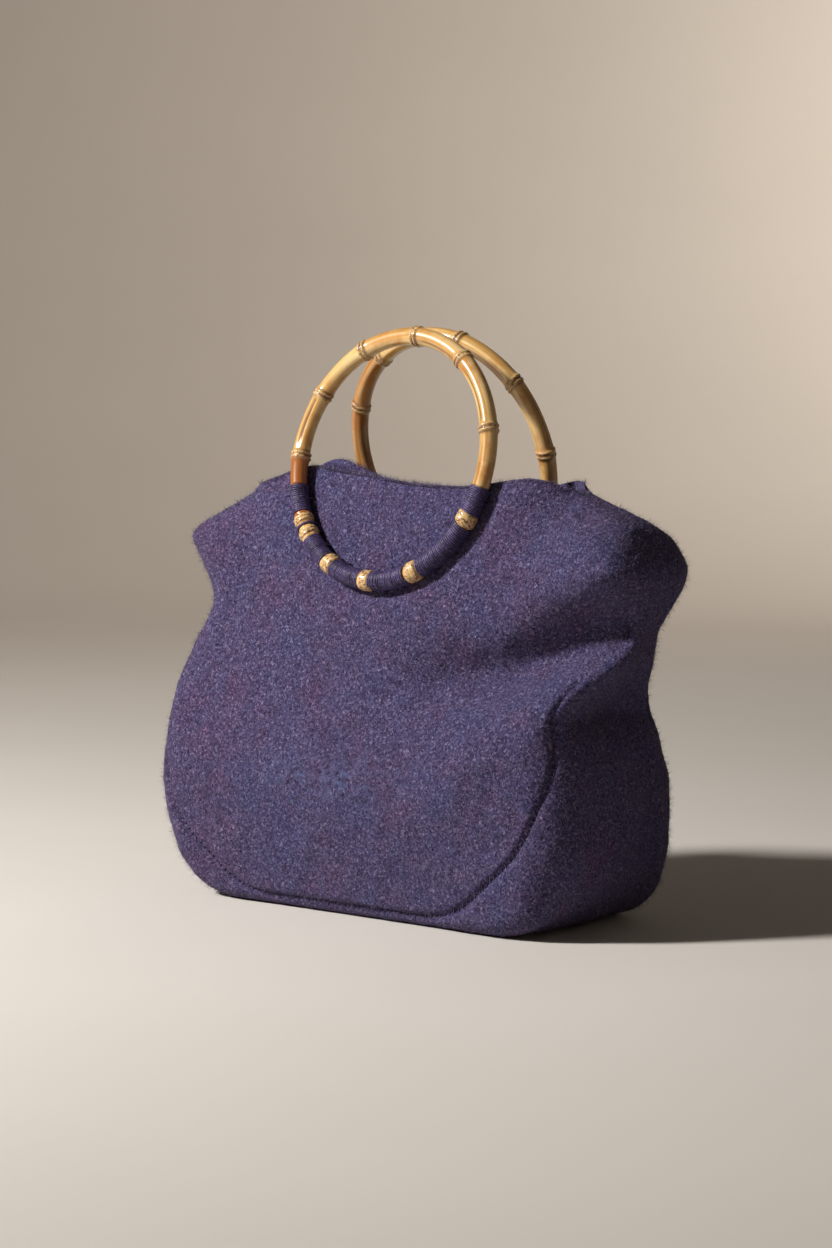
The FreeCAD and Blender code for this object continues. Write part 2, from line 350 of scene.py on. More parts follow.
def settle(points):
    """The plain shape with its folds, its hollow sides and the felt's own unevenness."""
    x, y, z = points[:, 0], points[:, 1], points[:, 2]
    moved = points.copy()
    press, track = ring_press(x, z)
    free = 1 - track
    moved[:, 1] -= smooth(2.0, 34.0, -y) * (folds("front", x, z) * free + press)
    moved[:, 1] += smooth(2.0, 34.0, y) * (folds("back", x, z) * free + press)
    middle = np.clip(1 - (y / (0.92 * half_depth(z))) ** 2, 0, 1)
    side = np.sign(x) * smooth(88.0, 122.0, np.abs(x))
    moved[:, 0] -= side * middle * side_hollow(x, z)
    sag = np.where(x > 0, RIGHT_SAG, LEFT_SAG)
    moved[:, 2] -= np.abs(side) * middle * sag * smooth(200.0, 226.0, z)
    moved[:, 0] += smooth(-16.0, 22.0, -y) * wing_reach(x, z)
    # The right end of the mouth is drawn together, and a little towards the front.
    drawn = smooth(84.0, 122.0, x) * smooth(214.0, 238.0, z)
    moved[:, 1] -= drawn * (0.48 * y + 4.0)
    moved[:, 0] -= BACK_TUCK * smooth(0.0, 30.0, y) * smooth(60.0, 120.0, x) * smooth(150.0, 112.0, z)
    lump = wave_noise(points, LUMP_SIZE, 3) * LUMP_HEIGHT * free * smooth(0.0, 26.0, z)
    outward = unit(points * np.array([0.15, 1.0, 0.0]) + 1e-6)
    return moved + outward * lump[:, None]


# ---- the felt's surfaces ----
def nearest(points, targets, batch=4000):
    """Each point's distance to its nearest target, and that target's number."""
    gap, number = np.empty(len(points)), np.empty(len(points), int)
    for i in range(0, len(points), batch):
        apart = np.linalg.norm(points[i:i + batch, None] - targets[None], axis=2)
        number[i:i + batch] = apart.argmin(axis=1)
        gap[i:i + batch] = apart.min(axis=1)
    return gap, number


def front_surface(flat):
    """Plain front felt: a y for each point of the front view, rounded off towards the outline."""
    gap, number = nearest(flat, OUTLINE)
    radius = ROUND[number]
    inside = np.minimum(gap, radius)
    return -(half_depth(flat[:, 1]) - radius + np.sqrt(radius ** 2 - (radius - inside) ** 2))


def panel_grid(rim_points):
    """A side panel as the front's, rows from the base's seam up to the rim, columns from left to right."""
    rows, columns = SIDE_POINTS - CORNER_POINT, 2 * CORNER_POINT + 1
    right = SEAM[:rows][::-1]
    left = SEAM[len(SEAM) - rows:]
    bottom = SEAM[rows - 1:rows - 1 + columns][::-1]
    rim = np.array(rim_points, float)
    across = np.linspace(0, 1, columns)
    rim_x = rim[0, 0] + (rim[-1, 0] - rim[0, 0]) * across
    top = np.stack([rim_x, np.interp(rim_x, rim[:, 0], rim[:, 1])], axis=1)
    top[:, 1] = soften(top, 60)[:, 1]
    up = np.linspace(0, 1, rows)[:, None, None]
    u = across[None, :, None]
    flat = ((1 - up) * bottom[None] + up * top[None] + (1 - u) * left[:, None] + u * right[:, None]
            - (1 - up) * ((1 - u) * bottom[0] + u * bottom[-1])
            - up * ((1 - u) * top[0] + u * top[-1]))
    flat = flat.reshape(-1, 2)
    points = np.stack([flat[:, 0], front_surface(flat), flat[:, 1]], axis=1)
    return points.reshape(rows, columns, 3)


GUSSET_COLUMNS = 41


def gusset_grid():
    """The gusset's front half: rows along the outline, columns from the front seam to y = 0."""
    share = np.linspace(1, 0, GUSSET_COLUMNS)[None, :]
    reach = np.linalg.norm(SEAM - OUTLINE, axis=1)[:, None]
    radius = ROUND[:, None]
    level = half_depth(OUTLINE[:, 1])[:, None] - radius
    turn = np.arccos(np.clip(1 - reach / radius, 0, 1))
    way = share * (level + radius * turn + np.maximum(0, reach - radius))
    angle = np.clip((way - level) / radius, 0, math.pi / 2)
    beyond = np.maximum(0, way - level - radius * math.pi / 2)
    inset = radius * (1 - np.cos(angle)) + beyond
    y = np.minimum(way, level) + radius * np.sin(angle)
    y *= 1 + (-front_surface(SEAM)[:, None] / y[:, :1] - 1) * share
    flat = OUTLINE[:, None, :] + ((SEAM - OUTLINE) / reach)[:, None, :] * inset[:, :, None]
    return np.stack([flat[:, :, 0], -y, flat[:, :, 1]], axis=2), share


SHARE_HEIGHTS = (-16.0, 8.0)  # along the ring's lean, from the hinge


def handle_share(grid):
    """A share for each of a grid's points by its place against the ring: 1 behind the ring, 0 well away.
    """
    front = np.stack([grid[..., 0], -np.abs(grid[..., 1]), grid[..., 2]], axis=-1)
    height = (front - HINGE) @ UP
    return smooth(*SHARE_HEIGHTS, height) * smooth(160.0, 84.0, np.abs(grid[..., 0]))


def facing(grid):
    """Unit normals of a grid that point out of the bag."""
    outward = grid_normals(grid)
    if np.sum(outward * (grid - np.array([0, 0, 110]))) < 0:
        outward = -outward
    return outward


# ---- the felt's detail ----
GROOVE_DEPTH, GROOVE_HALF_WIDTH = 2.6, 2.1


def pilled(points):
    """Where the front felt is worn and pilled, from 0 to 1."""
    return hill(points[:, 0], points[:, 2], (-14, 79), (50, 12), 3) * (points[:, 1] < 0)


def roughen(grid, seam, depth):
    """Sinks the groove along the seam by its depths, and raises the felt's own lumps."""
    flat = grid.reshape(-1, 3)
    _, track = ring_press(flat[:, 0], flat[:, 2])
    lumps = wave_noise(flat, 11.0, 11) * 0.3 + wave_noise(flat, 3.1, 12) * 0.13
    lumps += pilled(flat) * np.maximum(0, wave_noise(flat, 4.4, 13)) * 2.6
    lumps = lumps * (1 - 0.85 * track) * smooth(0.0, 3.0, flat[:, 2])
    gap, number = nearest(flat, seam)
    groove = depth[number] * np.exp(-(gap / GROOVE_HALF_WIDTH) ** 2)
    return grid + facing(grid) * (lumps - groove).reshape(grid.shape[:2])[:, :, None]


def groove_depth():
    """The seam's groove along its length: shallow up on the wings, and gone at the rim."""
    number = np.arange(len(SEAM))
    ends = np.minimum(number, len(SEAM) - 1 - number)
    return GROOVE_DEPTH * smooth(8.0, 34.0, ends) * smooth(158.0, 122.0, SEAM[:, 1])


def even_normals(grid, rounds=6):
    """The grid's normals without its small lumps."""
    even = grid.copy()
    for _ in range(rounds):
        even[1:-1] = (even[:-2] + 2 * even[1:-1] + even[2:]) / 4
        even[:, 1:-1] = (even[:, :-2] + 2 * even[:, 1:-1] + even[:, 2:]) / 4
    return facing(even)


CORNER_THINNING = 2.2  # of the felt at the mouth's two ends
EDGE_TURNS = (0.2, 0.4, 0.6, 0.8)  # the points round a thick edge, as shares of a half turn


def thicken(grid, rounding):
    """Points and quads of felt under a grid: its inner face, and edges rounded by that much."""
    rows, columns = grid.shape[:2]
    count = rows * columns
    corner = smooth(92.0, 112.0, np.abs(grid[:, :, 0])) * smooth(222.0, 238.0, grid[:, :, 2])
    thickness = (FELT - CORNER_THINNING * corner)[:, :, None]
    inner = grid - even_normals(grid) * thickness
    ring = np.concatenate([np.arange(columns), np.arange(1, rows) * columns + columns - 1,
                           (rows - 1) * columns + np.arange(columns - 2, -1, -1),
                           np.arange(rows - 2, 0, -1) * columns])
    a, b = grid.reshape(-1, 3)[ring], inner.reshape(-1, 3)[ring]
    beyond = unit(np.cross(a - b, np.roll(a, -1, axis=0) - np.roll(a, 1, axis=0)))
    # The step from the third row to the first shows which way is out over the edge.
    if np.sum(beyond[:columns] * (grid[0] - grid[2])) < 0:
        beyond = -beyond
    points = [grid.reshape(-1, 3), inner.reshape(-1, 3)]
    strips = [ring]
    bulge = thickness.reshape(-1)[ring] / 2 * rounding.reshape(-1)[ring]
    for turn in EDGE_TURNS:
        bow = ((a + b) / 2 + (a - b) / 2 * math.cos(turn * math.pi)
               + beyond * (bulge * math.sin(turn * math.pi))[:, None])
        strips.append(2 * count + (len(points) - 2) * len(ring) + np.arange(len(ring)))
        points.append(bow)
    strips.append(ring + count)
    faces = [grid_faces(rows, columns), grid_faces(rows, columns, start=count)[:, ::-1]]
    for near, far in zip(strips, strips[1:]):
        faces.append(np.stack([near, far, np.roll(far, -1), np.roll(near, -1)], axis=1))
    picked = np.concatenate([np.arange(count), np.arange(count)] + [ring] * len(EDGE_TURNS))
    return np.concatenate(points), np.concatenate(faces), picked


def bend(obj, side):
    """Bakes a piece's placement into its points; it bends nothing."""
    foot, head = (HINGE + UP * height for height in SHARE_HEIGHTS)
    TO_SIDE[side](foot) * MM
    TO_SIDE[side](head) * MM
    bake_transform(obj)


def make_felt(name, side, grid, rounding, material):
    """A thick piece of felt from the grid of its outer face."""
    points, faces, picked = thicken(grid, rounding)
    if np.sum(facing(grid) * grid_normals(grid)) < 0:
        faces = faces[:, ::-1]
    obj = make_mesh(name, points, faces, material, crease=55)
    add_attribute(obj, "pilled", pilled(points))
    bend(obj, side)
    return obj


# ---- materials ----
class Nodes:
    """A short way to write a material's nodes."""

    def __init__(self, name):
        self.material = bpy.data.materials.new(name)
        self.material.use_nodes = True
        self.tree = self.material.node_tree
        self.shader = self.tree.nodes["Principled BSDF"]
        self.place = self.add("ShaderNodeTexCoord").outputs["Object"]

    def add(self, kind, **settings):
        node = self.tree.nodes.new(kind)
        for name, value in settings.items():
            setattr(node, name, value)
        return node

    def feed(self, socket, value):
        """Links an output socket to a node's socket, or sets the socket to a plain value."""
        if isinstance(value, bpy.types.NodeSocket):
            self.tree.links.new(value, socket)
        elif socket.type == "RGBA":
            socket.default_value = (*value, 1.0)
        else:
            socket.default_value = value

    def set(self, node, **values):
        for name, value in values.items():
            self.feed(node.inputs[name.replace("_", " ")], value)

    def noise(self, scale, detail=2.0, roughness=0.5, vector=None, distortion=0.0):
        node = self.add("ShaderNodeTexNoise")
        self.set(node, Vector=vector or self.place, Scale=scale, Detail=detail,
                 Roughness=roughness, Distortion=distortion)
        return node.outputs["Fac"]

    def ramp(self, value, stops):
        """A colour ramp: stops are (position, (r, g, b))."""
        node = self.add("ShaderNodeValToRGB")
        elements = node.color_ramp.elements
        while len(elements) < len(stops):
            elements.new(0.5)
        for element, (position, colour) in zip(elements, stops):
            element.position = position
            element.color = (*colour, 1.0)
        self.feed(node.inputs["Fac"], value)
        return node.outputs["Color"]

    def math(self, operation, a, b):
        node = self.add("ShaderNodeMath", operation=operation)
        self.feed(node.inputs[0], a)
        self.feed(node.inputs[1], b)
        return node.outputs[0]

    def span(self, value, low, high, to_low=0.0, to_high=1.0):
        """Maps low..high to to_low..to_high, clamped."""
        node = self.add("ShaderNodeMapRange")
        self.set(node, Value=value, From_Min=low, From_Max=high, To_Min=to_low, To_Max=to_high)
        return node.outputs["Result"]

    def mix(self, factor, a, b, blend="MIX"):
        node = self.add("ShaderNodeMix", data_type="RGBA", blend_type=blend)
        for number, value in ((0, factor), (6, a), (7, b)):
            self.feed(node.inputs[number], value)
        return node.outputs[2]

    def attribute(self, name):
        node = self.add("ShaderNodeAttribute", attribute_name=name)
        return node.outputs["Fac"]

    def bump(self, height, distance, strength=1.0):
        node = self.add("ShaderNodeBump")
        self.set(node, Height=height, Distance=distance, Strength=strength)
        return node.outputs["Normal"]


DARK_VIOLET = (0.012, 0.008, 0.026)
BLUE_VIOLET = (0.070, 0.064, 0.155)
BURGUNDY = (0.105, 0.040, 0.080)
GREY_LILAC = (0.24, 0.21, 0.325)


def felt_material():
    """Fulled wool: a speckle of dark and lilac fibres, in drifts of blue and burgundy."""
    n = Nodes("felted_wool")
    drift = n.noise(26.0, 3.0, 0.6)
    cloud = n.noise(95.0, 3.0, 0.65)
    fleck = n.noise(620.0, 2.0, 0.75, distortion=0.8)
    grain = n.noise(1300.0, 2.0, 0.7)
    speckle = n.math("ADD", n.math("MULTIPLY", fleck, 0.72), n.math("MULTIPLY", grain, 0.28))
    wool = n.ramp(speckle, [(0.33, DARK_VIOLET), (0.47, (0.045, 0.036, 0.088)),
                            (0.56, (0.088, 0.072, 0.15)), (0.68, GREY_LILAC)])
    tone = n.math("ADD", n.math("MULTIPLY", drift, 0.55), n.math("MULTIPLY", cloud, 0.45))
    hue = n.ramp(tone, [(0.36, (1.15, 0.88, 0.94)), (0.47, (1.02, 0.96, 1.0)),
                        (0.62, (0.88, 1.0, 1.10))])
    nubs = n.span(n.noise(300.0, 2.0, 0.6), 0.46, 0.60, 0.0, 0.55)
    worn = n.mix(n.math("MULTIPLY", n.attribute("pilled"), nubs), wool, (0.10, 0.125, 0.25))
    n.set(n.shader, Base_Color=n.mix(1.0, worn, hue, "MULTIPLY"),
          Roughness=n.span(fleck, 0.3, 0.7, 0.98, 0.82), Normal=n.bump(speckle, 0.0016, 1.0),
          Specular_IOR_Level=0.12, Sheen_Weight=0.10, Sheen_Roughness=0.45,
          Sheen_Tint=(0.62, 0.55, 0.85))
    return n.material


def fibre_material():
    """The loose fibres, each of one of the wool's colours."""
    n = Nodes("wool_fibre")
    shade = n.attribute("tint")
    colour = n.ramp(shade, [(0.0, DARK_VIOLET), (0.30, (0.045, 0.035, 0.10)), (0.55, BLUE_VIOLET),
                            (0.66, BURGUNDY), (0.76, (0.16, 0.135, 0.23)), (1.0, (0.42, 0.37, 0.50))])
    n.set(n.shader, Base_Color=colour, Roughness=n.span(shade, 0.0, 1.0, 0.9, 0.65),
          Specular_IOR_Level=0.2, Sheen_Weight=0.2, Sheen_Roughness=0.4,
          Sheen_Tint=(0.7, 0.65, 0.9))
    return n.material


def yarn_material():
    """Smooth dark violet yarn with fine twisted plies, flecked with painted lilac sheen."""
    n = Nodes("violet_yarn")
    ply = n.noise(900.0, 2.0, 0.6)
    tone = n.noise(160.0, 2.0, 0.5)
    colour = n.ramp(tone, [(0.35, (0.014, 0.008, 0.038)), (0.65, (0.045, 0.029, 0.105))])
    # the lilac flecks on the plies are painted sheen highlights
    colour = n.mix(n.span(ply, 0.53, 0.68, 0.0, 0.7), colour, (0.18, 0.14, 0.31))
    n.set(n.shader, Base_Color=colour, Roughness=n.span(ply, 0.3, 0.7, 0.62, 0.42),
          Normal=n.bump(ply, 0.0003, 0.7), Specular_IOR_Level=0.45, Sheen_Weight=0.12,
          Sheen_Tint=(0.6, 0.5, 0.85))
    return n.material


def cane_material():
    """Varnished cane: honey skin with streaks, tan stretches, and brown specks at the nodes."""
    n = Nodes("varnished_cane")
    node = n.attribute("node")
    groove = n.attribute("groove")
    amber = n.attribute("amber")
    along = n.add("ShaderNodeCombineXYZ")
    n.set(along, X=n.attribute("run"), Y=n.attribute("round_x"), Z=n.attribute("round_y"))
    streak = n.add("ShaderNodeMapping")
    n.set(streak, Vector=along.outputs[0], Scale=(12.0, 330.0, 330.0))
    streaks = n.noise(1.0, 4.0, 0.65, vector=streak.outputs[0])
    blotch = n.noise(60.0, 3.0, 0.6)
    speck = n.noise(640.0, 2.0, 0.8)
    colour = n.ramp(streaks, [(0.30, (0.36, 0.155, 0.034)), (0.44, (0.60, 0.36, 0.115)),
                              (0.70, (0.84, 0.65, 0.33))])
    colour = n.mix(n.span(blotch, 0.47, 0.66, 0.0, 0.8), colour, (0.50, 0.215, 0.045))
    colour = n.mix(amber, colour, (0.30, 0.085, 0.016))
    # the groove's dark brown is painted shade in the recess
    colour = n.mix(groove, colour, (0.085, 0.030, 0.009))
    bare = n.mix(n.span(speck, 0.50, 0.60), (0.62, 0.40, 0.17), (0.13, 0.048, 0.014))
    colour = n.mix(node, colour, bare)
    colour = n.mix(n.attribute("joint"), colour, (0.085, 0.028, 0.008))
    rough = n.math("ADD", n.span(streaks, 0.3, 0.7, 0.34, 0.24), n.math("MULTIPLY", node, 0.25))
    height = n.math("ADD", n.math("MULTIPLY", streaks, 0.35),
                    n.math("MULTIPLY", speck, n.math("MULTIPLY", node, 1.1)))
    n.set(n.shader, Base_Color=colour, Roughness=rough, Normal=n.bump(height, 0.0006, 0.5),
          Specular_IOR_Level=0.5, Coat_Weight=0.55, Coat_Roughness=0.12, Coat_IOR=1.5)
    return n.material


def board_material():
    """Grey stiffening board, with short fibres pressed into it."""
    n = Nodes("fibre_board")
    pulp = n.noise(420.0, 4.0, 0.7)
    colour = n.ramp(pulp, [(0.35, (0.16, 0.145, 0.125)), (0.65, (0.30, 0.275, 0.24))])
    n.set(n.shader, Base_Color=colour, Roughness=n.span(pulp, 0.3, 0.7, 0.95, 0.8),
          Normal=n.bump(pulp, 0.0003, 0.6))
    return n.material


def pin_material():
    """Drawn steel, lightly scratched."""
    n = Nodes("steel_pin")
    scratch = n.noise(2500.0, 3.0, 0.6)
    colour = n.ramp(scratch, [(0.3, (0.42, 0.41, 0.40)), (0.7, (0.60, 0.59, 0.57))])
    n.set(n.shader, Base_Color=colour, Metallic=1.0, Roughness=n.span(scratch, 0.3, 0.7, 0.35, 0.22),
          Normal=n.bump(scratch, 0.00005, 0.5))
    return n.material


# ---- the felt pieces ----
def settled(grid):
    return settle(grid.reshape(-1, 3)).reshape(grid.shape)


def build_felt(side, material):
    """One side panel and its half of the gusset. Returns their grids and handle shares."""
    panel = panel_grid(FRONT_RIM if side == "front" else BACK_RIM)
    gusset, share = gusset_grid()
    if side == "back":
        panel, gusset = mirror_y(panel), mirror_y(gusset)
    seam = settled(gusset)[:, 0]
    panel_share = handle_share(panel)
    gusset_share = handle_share(gusset) * smooth(0.0, 1.0, share)
    depth = groove_depth()
    panel = roughen(settled(panel), seam, depth)
    gusset = roughen(settled(gusset), seam, depth)
    edge = gusset[:, 0]
    rows, columns = panel.shape[:2]
    panel[0] = edge[rows - 1:rows - 1 + columns][::-1]
    panel[:, -1] = edge[:rows][::-1]
    panel[:, 0] = edge[len(edge) - rows:]
    number = np.arange(columns)
    rim = np.zeros(panel.shape[:2])
    rim[-1] = smooth(0.0, 8.0, np.minimum(number, number[::-1]))
    mouth = np.zeros(gusset.shape[:2])
    mouth[0] = mouth[-1] = smooth(0.0, 5.0, np.arange(GUSSET_COLUMNS))
    front = make_felt(side + "_felt", side, panel, rim, material)
    strip = make_felt(side + "_gusset_felt", side, gusset, mouth, material)
    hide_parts(side + "_panel", side + "_flap")
    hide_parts("gusset")
    return {"panel": (panel, panel_share), "gusset": (gusset, gusset_share),
            "seam": (seam, gusset_share[:, 0])}


# ---- loose fibres ----
RIM_FIBRES = 1900  # of the halo, along each rim
FIBRE_POINTS = 7  # a foot and a waist of three points, and a tip
LOWEST_FIBRE = 0.3
# Each coat of fibres: what it adds to the seed, its count on each piece of felt, and the least and
# most of its lengths and of its lean from upright, in millimetres and radians, and its half-width.
COATS = {"nap": (0, {"panel": 19500, "gusset": 15000}, (0.7, 1.8), (0.7, 1.45), 0.10),
         "halo": (50, {"panel": 13000, "gusset": 10000}, (2.0, 4.8), (0.1, 1.2), 0.052)}


def sample_grid(grid, source, count):
    """Random points on a grid, spread evenly by area: their cells and places in the cells."""
    across = grid[:-1, 1:] - grid[:-1, :-1]
    along = grid[1:, :-1] - grid[:-1, :-1]
    area = np.linalg.norm(np.cross(across, along), axis=2).reshape(-1)
    cell = source.choice(len(area), count, p=area / area.sum())
    row, column = np.divmod(cell, grid.shape[1] - 1)
    return row, column, source.random(count)[:, None], source.random(count)[:, None]


def blend_cell(values, row, column, u, v):
    near = values[row, column] * (1 - u) + values[row, column + 1] * u
    far = values[row + 1, column] * (1 - u) + values[row + 1, column + 1] * u
    return near * (1 - v) + far * v


def unit_noise(source, count):
    return unit(source.normal(size=(count, 3)))


def make_fibres(name, side, roots, outward, share, source, length, lean, width, material):
    """Thin pointed fibres that stand or lie on the felt. Each is one small closed solid."""
    count = len(roots)
    sizes = source.uniform(*length, count)[:, None]
    tilt = source.uniform(*lean, count)[:, None]
    side_way = unit(np.cross(outward, unit_noise(source, count)))
    aim = unit(outward * np.cos(tilt) + side_way * np.sin(tilt))
    curl = unit_noise(source, count) * sizes * 0.22
    first = unit(np.cross(aim, side_way + 0.01))
    second = np.cross(aim, first)
    points = np.empty((count, FIBRE_POINTS, 3))
    for i in range(3):
        turn = i * 2 * math.pi / 3
        spoke = first * math.cos(turn) + second * math.sin(turn)
        points[:, i] = roots - outward * 0.25 + spoke * width
        points[:, 3 + i] = roots + aim * sizes * 0.5 + curl * 0.5 + spoke * width * 0.75
    points[:, 6] = roots + aim * sizes - curl * 0.3
    above = points[:, :, 2].min(axis=1) > LOWEST_FIBRE
    points, share = points[above], share.reshape(-1)[above]
    count = len(points)
    start = np.arange(count)[:, None] * FIBRE_POINTS
    quads = np.concatenate([start + np.array([[i, (i + 1) % 3, 3 + (i + 1) % 3, 3 + i]])
                            for i in range(3)])
    tips = np.concatenate([start + np.array([[3 + i, 3 + (i + 1) % 3, 6]]) for i in range(3)])
    base = start + np.array([[0, 2, 1]])
    obj = make_mesh(name, points.reshape(-1, 3), [quads, tips, base], material)
    add_attribute(obj, "tint", np.repeat(source.random(count), FIBRE_POINTS))
    bend(obj, side)


def add_fuzz(side, felt, part, coat, seed, material):
    """One coat of fibres over a felt piece. The halo also runs along a panel's rim."""
    extra_seed, counts, length, lean, width = COATS[coat]
    grid, share = felt[part]
    source = np.random.default_rng(seed + extra_seed)
    row, column, u, v = sample_grid(grid, source, counts[part])
    roots = blend_cell(grid, row, column, u, v)
    outward = unit(blend_cell(facing(grid), row, column, u, v))
    shares = blend_cell(share[:, :, None], row, column, u, v)
    if part == "panel" and coat == "halo":
        place = source.integers(0, grid.shape[1], RIM_FIBRES)
        over = unit(grid[-1] - grid[-4] + 0.35 * facing(grid)[-1])[place]
        roots = np.concatenate([roots, grid[-1, place] + 0.5 * over])
        outward = np.concatenate([outward, over])
        shares = np.concatenate([shares, share[-1, place][:, None]])
    make_fibres(side + "_" + part + "_" + coat, side, roots, outward, shares, source,
                length, lean, width, material)


# ---- yarn ----
def make_tube(centres, outward, radius, closed=False, around=6):
    """Points and faces of a tube: outward is a direction near each centre's own cross-section."""
    if closed:
        ahead = unit(np.roll(centres, -1, axis=0) - np.roll(centres, 1, axis=0))
    else:
        ahead = unit(np.gradient(centres, axis=0))
    first = unit(outward - ahead * np.sum(outward * ahead, axis=1)[:, None])
    second = np.cross(ahead, first)
    turn = np.arange(around) * 2 * math.pi / around
    rims = centres[:, None] + radius * (first[:, None] * np.cos(turn)[None, :, None]
                                        + second[:, None] * np.sin(turn)[None, :, None])
    rows = len(centres)
    points = rims.reshape(-1, 3)
    if closed:
        wrapped = grid_faces(rows + 1, around, closed=True) % (rows * around)
        return points, [wrapped]
    caps = np.array([np.arange(around)[::-1], (rows - 1) * around + np.arange(around)])
    return points, [grid_faces(rows, around, closed=True), caps]


def join_parts(parts):
    """Several (points, face groups) as one, with face groups of the same size together."""
    points, faces, start = [], {}, 0
    for some, groups in parts:
        points.append(some)
        for group in groups:
            faces.setdefault(group.shape[1], []).append(group + start)
        start += len(some)
    return np.concatenate(points), [np.concatenate(group) for group in faces.values()]


def ring_place(side, angle, radial, out):
    """Points by a side's ring: their angle, their distance from its centre, and out of its plane."""
    spoke = np.cos(angle)[:, None] * np.array([1.0, 0.0, 0.0]) + np.sin(angle)[:, None] * UP
    return TO_SIDE[side](RING_C + radial[:, None] * spoke + out[:, None] * OUT)


def fix_to_handle(obj, side, node):
    """Has a piece ride on a side's handle in place of its CAD node."""
    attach(obj, side + "_handle")
    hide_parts(node)


POINTS_PER_TURN = 22


def make_winding(name, side, span, seed, material):
    """Yarn wound round the cane in one tight layer."""
    source = np.random.default_rng(seed)
    start, end = np.radians(span[0]), np.radians(span[1])
    turns = max(1, round(RING_R * (end - start) / YARN_PITCH))
    count = turns * POINTS_PER_TURN + 1
    t = np.linspace(0, 1, count)
    whole = np.arange(turns + 1)
    phase = t * turns * 2 * math.pi + source.uniform(0, 6)
    wander = np.interp(t * turns, whole, source.uniform(-0.12, 0.12, turns + 1))
    angle = start + (end - start) * (0.02 + 0.96 * t) + np.radians(wander)
    reach = WINDING_R + np.interp(t * turns, whole, source.uniform(-0.14, 0.10, turns + 1))
    centres = ring_place(side, angle, RING_R + reach * np.cos(phase), reach * np.sin(phase))
    core = ring_place(side, angle, np.full(count, RING_R), np.zeros(count))
    points, faces = make_tube(centres, centres - core, YARN_R, around=7)
    obj = make_mesh(name, points, faces, material)
    fix_to_handle(obj, side, name.replace("winding", "wrap"))


def make_ties(side, wraps, material):
    """Loops that tie the wound cane to the felt, round the cane and through the felt behind."""
    back = FACE_OFFSET - SEAT + FELT + TIE_R
    arc = np.linspace(0, math.pi, 14)[1:-1]
    across = rounded_path([(-TIE_REACH, 0, 0), (-TIE_REACH, -back, 3), (TIE_REACH, -back, 3),
                           (TIE_REACH, 0, 0)], 1.6)
    loop = np.concatenate([np.stack([np.cos(arc), np.sin(arc)], axis=1) * TIE_REACH, across])
    parts = []
    for start, end in wraps:
        count = max(1, round((end - start) / TIE_SPACING))
        for i in range(count):
            angle = np.full(len(loop), math.radians(start + (end - start) * (i + 0.5) / count))
            centres = ring_place(side, angle, RING_R + loop[:, 0], loop[:, 1])
            beside = ring_place(side, angle + 0.01, RING_R + loop[:, 0], loop[:, 1])
            parts.append(make_tube(centres, beside - centres, TIE_R, closed=True))
    obj = make_mesh(side + "_ties", *join_parts(parts), material)
    fix_to_handle(obj, side, side + "_tie_loops")


STITCH_START = 14.0  # from the seam's ends
STITCH_HALF_WIDTH, STITCH_HALF_DEPTH, STITCH_YARN_R = 1.9, 1.1, 0.5
POINTS_PER_STITCH, STITCH_SPOKES = 10, 5


def make_seam_stitches(side, felt, material):
    """The sewing yarn, whipped over the two edges down in the seam's groove."""
    seam, share = felt["seam"]
    lengths = lengths_along(seam)
    turns = int(lengths[-1] / STITCH_PITCH)
    at = np.linspace(STITCH_START, lengths[-1] - STITCH_START, turns * POINTS_PER_STITCH)
    place = np.stack([np.interp(at, lengths, seam[:, i]) for i in range(3)], axis=1)
    ahead = unit(np.gradient(place, axis=0))
    depth = unit(-np.stack([place[:, 0] * 0.25, place[:, 1], place[:, 2] * 0], axis=1))
    depth = unit(depth - ahead * np.sum(depth * ahead, axis=1)[:, None])
    beside = np.cross(ahead, depth)
    phase = np.arange(len(at)) * 2 * math.pi / POINTS_PER_STITCH
    spoke = (beside * np.cos(phase)[:, None] * STITCH_HALF_WIDTH
             + depth * (np.sin(phase)[:, None] * STITCH_HALF_DEPTH))
    sunk = 5.2 - 0.85 * np.interp(at, lengths, groove_depth())
    centres = place + depth * sunk[:, None] + spoke
    points, faces = make_tube(centres, spoke, STITCH_YARN_R, around=STITCH_SPOKES)
    obj = make_mesh(side + "_seam_stitches", points, faces, material)
    bend(obj, side)
    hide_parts(side + "_seam_yarn")


# ---- the cane rings ----
CANE_STEPS, CANE_SPOKES = 960, 32  # points round the ring, and round the cane


def stretch_numbers(angle, nodes):
    """The number of the stretch between nodes that each angle is in, counted from the first node."""
    return (np.searchsorted(np.sort(nodes), angle, side="right") - 1) % len(nodes)


